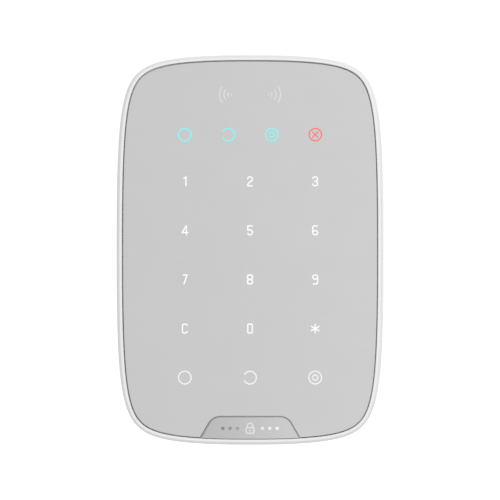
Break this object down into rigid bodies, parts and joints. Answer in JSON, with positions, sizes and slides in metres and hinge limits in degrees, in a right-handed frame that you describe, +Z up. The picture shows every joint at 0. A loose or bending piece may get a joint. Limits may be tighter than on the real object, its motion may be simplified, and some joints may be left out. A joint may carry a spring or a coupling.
{
  "type": "wireless alarm keypad panel",
  "caption": "Wall-mounted touch keypad for an alarm system: flat grey key panel in a thin white rounded housing that slides onto a hooked wall bracket.",
  "frame": {"origin": "middle of the face that lies on the wall", "axes": "+Z up, +Y into the wall, the keys face -Y, +X to the right as seen from the keys"},
  "size_m": [0.113, 0.02, 0.165],
  "materials": {
    "bracket_plastic": "fine moulded texture",
    "rear_plastic": "fine moulded texture",
    "housing_white": "satin white",
    "panel_grey": "matt, light grey, printed from behind",
    "badge_grey": "satin grey",
    "foam_black": "foam tape",
    "diffuser_film": "translucent film",
    "copper": "copper foil",
    "mask_white": "white reflector plastic",
    "legend_white": "lit print",
    "legend_cyan": "lit print",
    "legend_red": "lit print",
    "legend_pale": "print",
    "mark_grey": "print, shaded from dark to light",
    "board_green": "solder mask",
    "lamp_yellow": "white lamp with phosphor",
    "lamp_cyan": "clear lamp",
    "ferrite": "ferrite sheet",
    "chip_black": "moulded package",
    "can_steel": "tinned",
    "wire_gold": "gold flash",
    "can_silver": "bare",
    "parts_brown": "fired ceramic",
    "buzzer_black": "moulded",
    "switch_black": "moulded",
    "pin_grey": "moulded",
    "spring_steel": "drawn wire",
    "button_grey": "fine texture",
    "tray_dark": "fine texture",
    "cell_wrap": "shrink sleeve",
    "contact_nickel": "nickel plate",
    "lead_red": "silicone sleeve",
    "lead_black": "silicone sleeve",
    "screw_zinc": "zinc plate",
    "label_white": "blank"
  },
  "bodies": {
    "wall_bracket": {"wall_bracket": "bracket_plastic"},
    "keypad": {"rear_cover": "rear_plastic", "front_housing": "housing_white", "touch_panel": "panel_grey", "badge_plate": "badge_grey", "panel_adhesive": "foam_black", "diffuser_sheet": "diffuser_film", "touch_electrodes": "copper", "light_mask": "mask_white", "key_legends": "legend_white", "function_legends": "legend_white", "status_legends": "legend_cyan", "fault_legend": "legend_red", "reader_marks": "legend_pale", "badge_mark": "mark_grey", "main_board": "board_green", "key_backlight_leds": "lamp_yellow", "status_leds": "lamp_cyan", "ferrite_sheet": "ferrite", "reader_antenna": "copper", "reader_chip": "chip_black", "microcontroller": "chip_black", "radio_shield_can": "can_steel", "radio_antenna": "wire_gold", "crystals": "can_silver", "small_components": "parts_brown", "buzzer": "buzzer_black", "tamper_switch": "switch_black", "power_switch": "switch_black", "tamper_spring": "spring_steel", "battery_tray_right": "tray_dark", "battery_tray_left": "tray_dark", "cell_upper_right": "cell_wrap", "cell_lower_right": "cell_wrap", "cell_upper_left": "cell_wrap", "cell_lower_left": "cell_wrap", "battery_contacts": "contact_nickel", "battery_springs": "spring_steel", "battery_leads_red": "lead_red", "battery_leads_black": "lead_black", "cover_screws": "screw_zinc", "board_screws": "screw_zinc", "rear_label": "label_white"},
    "tamper_plunger": {"tamper_plunger": "pin_grey"},
    "power_button": {"power_button": "button_grey"}
  },
  "joints": [
    {"name": "keypad_lift", "type": "slide", "parent": "wall_bracket", "child": "keypad", "axis": [0, 0, 1], "range_m": [0, 0.008]},
    {"name": "tamper_plunger_out", "type": "slide", "parent": "keypad", "child": "tamper_plunger", "axis": [0, 1, 0], "range_m": [0, 0.0015]},
    {"name": "power_button_press", "type": "slide", "parent": "keypad", "child": "power_button", "axis": [0, -1, 0], "range_m": [0, 0.0006], "stiffness_N_per_m": 200}
  ],
  "couplings": [
    {"joint": "tamper_plunger_out", "follows": "keypad_lift", "ratio": 0.1875}
  ]
}
